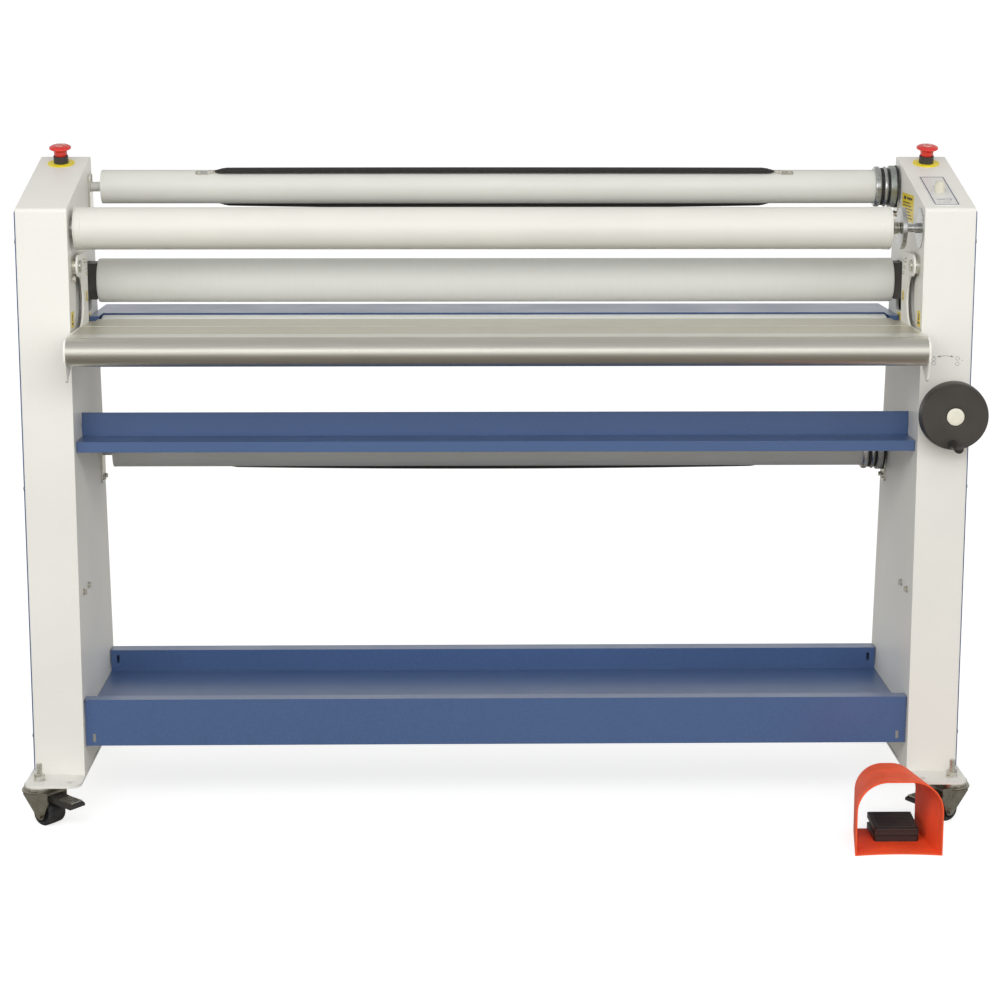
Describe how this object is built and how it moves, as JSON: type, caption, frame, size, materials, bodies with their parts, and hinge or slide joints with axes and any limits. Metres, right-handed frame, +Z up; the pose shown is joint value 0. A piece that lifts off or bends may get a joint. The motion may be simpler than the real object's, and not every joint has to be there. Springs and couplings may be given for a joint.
{
  "type": "cold roll laminator",
  "caption": "Floor-standing cold roll laminator: side cabinets on castors with nip rollers, swing-up feed table, mandrels, trays and a guarded foot switch.",
  "frame": {"origin": "on the floor at the centre of the footprint, foot switch included", "axes": "+X along the rollers to the machine's right, +Y to the back, +Z up; media enters from -Y"},
  "size_m": [1.923, 0.825, 1.346],
  "materials": {
    "cream_paint": "fine textured powder coat",
    "blue_paint": "fine textured powder coat",
    "satin_aluminium": "satin anodised",
    "grey_silicone": "ground silicone",
    "white_tube": "smooth satin",
    "mandrel_grey": "satin anodised",
    "zinc_steel": "bright zinc plate",
    "turned_steel": "fine turned",
    "dark_block": "blackened, matt",
    "black_plastic": "moulded, fine grain",
    "black_rubber": "matt",
    "red_plastic": "gloss",
    "yellow_plastic": "gloss",
    "orange_plastic": "moulded, satin",
    "cream_plastic": "moulded, satin",
    "panel_film": "printed film",
    "black_elastic": "woven elastic",
    "box_grey": "paint"
  },
  "bodies": {
    "root": {"left_cabinet": "cream_paint", "right_cabinet": "cream_paint", "side_panels": "blue_paint", "base_plates": "cream_paint", "bottom_tray": "blue_paint", "mid_shelf": "blue_paint", "exit_table": "blue_paint", "frame_screws": "zinc_steel", "castor_stems": "zinc_steel", "table_pivot_pins": "zinc_steel", "bottom_roller_bearings": "dark_block", "liner_spindle": "turned_steel", "liner_spring": "zinc_steel", "liner_tension_disc": "turned_steel", "mandrel_cradles": "zinc_steel", "gear_motor": "box_grey", "drive_chain": "turned_steel", "control_box": "box_grey", "control_panel": "panel_film", "estop_collars": "black_plastic"},
    "feed_table": {"feed_table": "satin_aluminium", "table_nose": "satin_aluminium", "table_arms": "cream_paint"},
    "table_latch": {"table_latch_button": "zinc_steel"},
    "nip_lift": {"lift_blocks": "dark_block"},
    "top_roller": {"top_roller_sleeve": "grey_silicone", "top_roller_core": "turned_steel"},
    "bottom_roller": {"bottom_roller_sleeve": "grey_silicone", "bottom_roller_core": "turned_steel", "roller_sprocket": "turned_steel"},
    "motor_output": {"motor_sprocket": "turned_steel"},
    "lift_shaft": {"lift_shaft": "turned_steel"},
    "handwheel": {"handwheel": "black_plastic", "handwheel_cap": "cream_plastic"},
    "crank_handle": {"crank_handle": "black_plastic"},
    "liner_tube": {"liner_tube": "white_tube"},
    "supply_mandrel": {"supply_mandrel": "mandrel_grey", "supply_grip_straps": "black_elastic", "supply_brake_rings": "turned_steel"},
    "lower_mandrel": {"lower_mandrel": "mandrel_grey", "lower_grip_straps": "black_elastic", "lower_brake_rings": "turned_steel"},
    "speed_knob": {"speed_knob": "cream_plastic"},
    "estop_stem_left": {"estop_stem_left": "black_plastic"},
    "estop_stem_right": {"estop_stem_right": "black_plastic"},
    "estop_head_left": {"estop_head_left": "red_plastic"},
    "estop_head_right": {"estop_head_right": "red_plastic"},
    "foot_pedal": {"pedal_guard": "orange_plastic", "pedal_base": "black_plastic"},
    "treadle": {"pedal_treadle": "black_plastic"},
    "castor_front_left": {"castor_fork_front_left": "zinc_steel"},
    "wheel_front_left": {"castor_wheel_front_left": "black_rubber"},
    "brake_front_left": {"castor_brake_front_left": "black_plastic"},
    "castor_front_right": {"castor_fork_front_right": "zinc_steel"},
    "wheel_front_right": {"castor_wheel_front_right": "black_rubber"},
    "brake_front_right": {"castor_brake_front_right": "black_plastic"},
    "castor_rear_left": {"castor_fork_rear_left": "zinc_steel"},
    "wheel_rear_left": {"castor_wheel_rear_left": "black_rubber"},
    "castor_rear_right": {"castor_fork_rear_right": "zinc_steel"},
    "wheel_rear_right": {"castor_wheel_rear_right": "black_rubber"}
  },
  "joints": [
    {"name": "handwheel_turn", "type": "hinge", "parent": "root", "child": "handwheel", "pos_m": [0.898, -0.186, 0.827], "axis": [0, 1, 0], "range_deg": [0, 1080]},
    {"name": "crank_handle_spin", "type": "hinge", "parent": "handwheel", "child": "crank_handle", "pos_m": [0.8945, -0.218, 0.773], "axis": [0, 1, 0], "continuous": true},
    {"name": "nip_lift_slide", "type": "slide", "parent": "root", "child": "nip_lift", "axis": [0, 0, 1], "range_m": [-0.025, 0]},
    {"name": "lift_shaft_turn", "type": "hinge", "parent": "root", "child": "lift_shaft", "pos_m": [0, 0.154, 0.76], "axis": [1, 0, 0], "range_deg": [0, 181]},
    {"name": "top_roller_spin", "type": "hinge", "parent": "nip_lift", "child": "top_roller", "pos_m": [0, 0.112, 1.067], "axis": [1, 0, 0], "continuous": true},
    {"name": "bottom_roller_spin", "type": "hinge", "parent": "root", "child": "bottom_roller", "pos_m": [0, 0.112, 0.95], "axis": [1, 0, 0], "continuous": true},
    {"name": "motor_spin", "type": "hinge", "parent": "root", "child": "motor_output", "pos_m": [-0.868, 0.112, 0.5], "axis": [1, 0, 0], "continuous": true},
    {"name": "liner_tube_spin", "type": "hinge", "parent": "root", "child": "liner_tube", "pos_m": [0, -0.088, 1.188], "axis": [1, 0, 0], "continuous": true},
    {"name": "supply_mandrel_spin", "type": "hinge", "parent": "root", "child": "supply_mandrel", "pos_m": [0, 0.164, 1.2555], "axis": [1, 0, 0], "continuous": true},
    {"name": "lower_mandrel_spin", "type": "hinge", "parent": "root", "child": "lower_mandrel", "pos_m": [0, 0.22, 0.6935], "axis": [1, 0, 0], "continuous": true},
    {"name": "feed_table_swing", "type": "hinge", "parent": "root", "child": "feed_table", "pos_m": [0, -0.088, 1.114], "axis": [-1, 0, 0], "range_deg": [0, 86]},
    {"name": "table_latch_press", "type": "slide", "parent": "root", "child": "table_latch", "axis": [-1, 0, 0], "range_m": [0, 0.004], "stiffness_N_per_m": 300, "springref_m": -0.002},
    {"name": "speed_knob_turn", "type": "hinge", "parent": "root", "child": "speed_knob", "pos_m": [0.883, -0.043, 1.25462], "axis": [0, -0.2604, 0.9655], "range_deg": [-135, 135]},
    {"name": "estop_press_left", "type": "slide", "parent": "root", "child": "estop_stem_left", "axis": [0, 0.2604, -0.9655], "range_m": [0, 0.005]},
    {"name": "estop_twist_left", "type": "hinge", "parent": "estop_stem_left", "child": "estop_head_left", "pos_m": [-0.89, 0.13219, 1.33294], "axis": [0, -0.2604, 0.9655], "range_deg": [0, 45], "stiffness_Nm_per_rad": 0.05},
    {"name": "estop_press_right", "type": "slide", "parent": "root", "child": "estop_stem_right", "axis": [0, 0.2604, -0.9655], "range_m": [0, 0.005]},
    {"name": "estop_twist_right", "type": "hinge", "parent": "estop_stem_right", "child": "estop_head_right", "pos_m": [0.89, 0.13219, 1.33294], "axis": [0, -0.2604, 0.9655], "range_deg": [0, 45], "stiffness_Nm_per_rad": 0.05},
    {"name": "foot_pedal_place", "type": "slide", "parent": "root", "child": "foot_pedal", "axis": [0, -1, 0], "range_m": [0, 0.25]},
    {"name": "treadle_press", "type": "hinge", "parent": "foot_pedal", "child": "treadle", "pos_m": [0.783, -0.329, 0.0195], "axis": [1, 0, 0], "range_deg": [-5, 0], "stiffness_Nm_per_rad": 2, "springref_deg": 5.73},
    {"name": "swivel_front_left", "type": "hinge", "parent": "root", "child": "castor_front_left", "pos_m": [-0.923, -0.174, 0.07], "axis": [0, 0, 1], "continuous": true},
    {"name": "wheel_spin_front_left", "type": "hinge", "parent": "castor_front_left", "child": "wheel_front_left", "pos_m": [-0.90252, -0.18834, 0.025], "axis": [0.5736, 0.8192, 0], "continuous": true},
    {"name": "brake_press_front_left", "type": "hinge", "parent": "castor_front_left", "child": "brake_front_left", "pos_m": [-0.8886, -0.19809, 0.058], "axis": [0.5736, 0.8192, 0], "range_deg": [0, 12]},
    {"name": "swivel_front_right", "type": "hinge", "parent": "root", "child": "castor_front_right", "pos_m": [0.923, -0.174, 0.07], "axis": [0, 0, 1], "continuous": true},
    {"name": "wheel_spin_front_right", "type": "hinge", "parent": "castor_front_right", "child": "wheel_front_right", "pos_m": [0.90135, -0.1865, 0.025], "axis": [0.5, -0.866, 0], "continuous": true},
    {"name": "brake_press_front_right", "type": "hinge", "parent": "castor_front_right", "child": "brake_front_right", "pos_m": [0.88663, -0.195, 0.058], "axis": [0.5, -0.866, 0], "range_deg": [0, 12]},
    {"name": "swivel_rear_left", "type": "hinge", "parent": "root", "child": "castor_rear_left", "pos_m": [-0.923, 0.353, 0.07], "axis": [0, 0, 1], "continuous": true},
    {"name": "wheel_spin_rear_left", "type": "hinge", "parent": "castor_rear_left", "child": "wheel_rear_left", "pos_m": [-0.90385, 0.36907, 0.025], "axis": [-0.6428, 0.766, 0], "continuous": true},
    {"name": "swivel_rear_right", "type": "hinge", "parent": "root", "child": "castor_rear_right", "pos_m": [0.923, 0.353, 0.07], "axis": [0, 0, 1], "continuous": true},
    {"name": "wheel_spin_rear_right", "type": "hinge", "parent": "castor_rear_right", "child": "wheel_rear_right", "pos_m": [0.90866, 0.37348, 0.025], "axis": [-0.8192, -0.5736, 0], "continuous": true}
  ],
  "couplings": [
    {"joint": "handwheel_turn", "follows": "nip_lift_slide", "rad_per_m": -753.98},
    {"joint": "lift_shaft_turn", "follows": "nip_lift_slide", "rad_per_m": -125.66},
    {"joint": "motor_spin", "follows": "bottom_roller_spin", "ratio": 2}
  ]
}
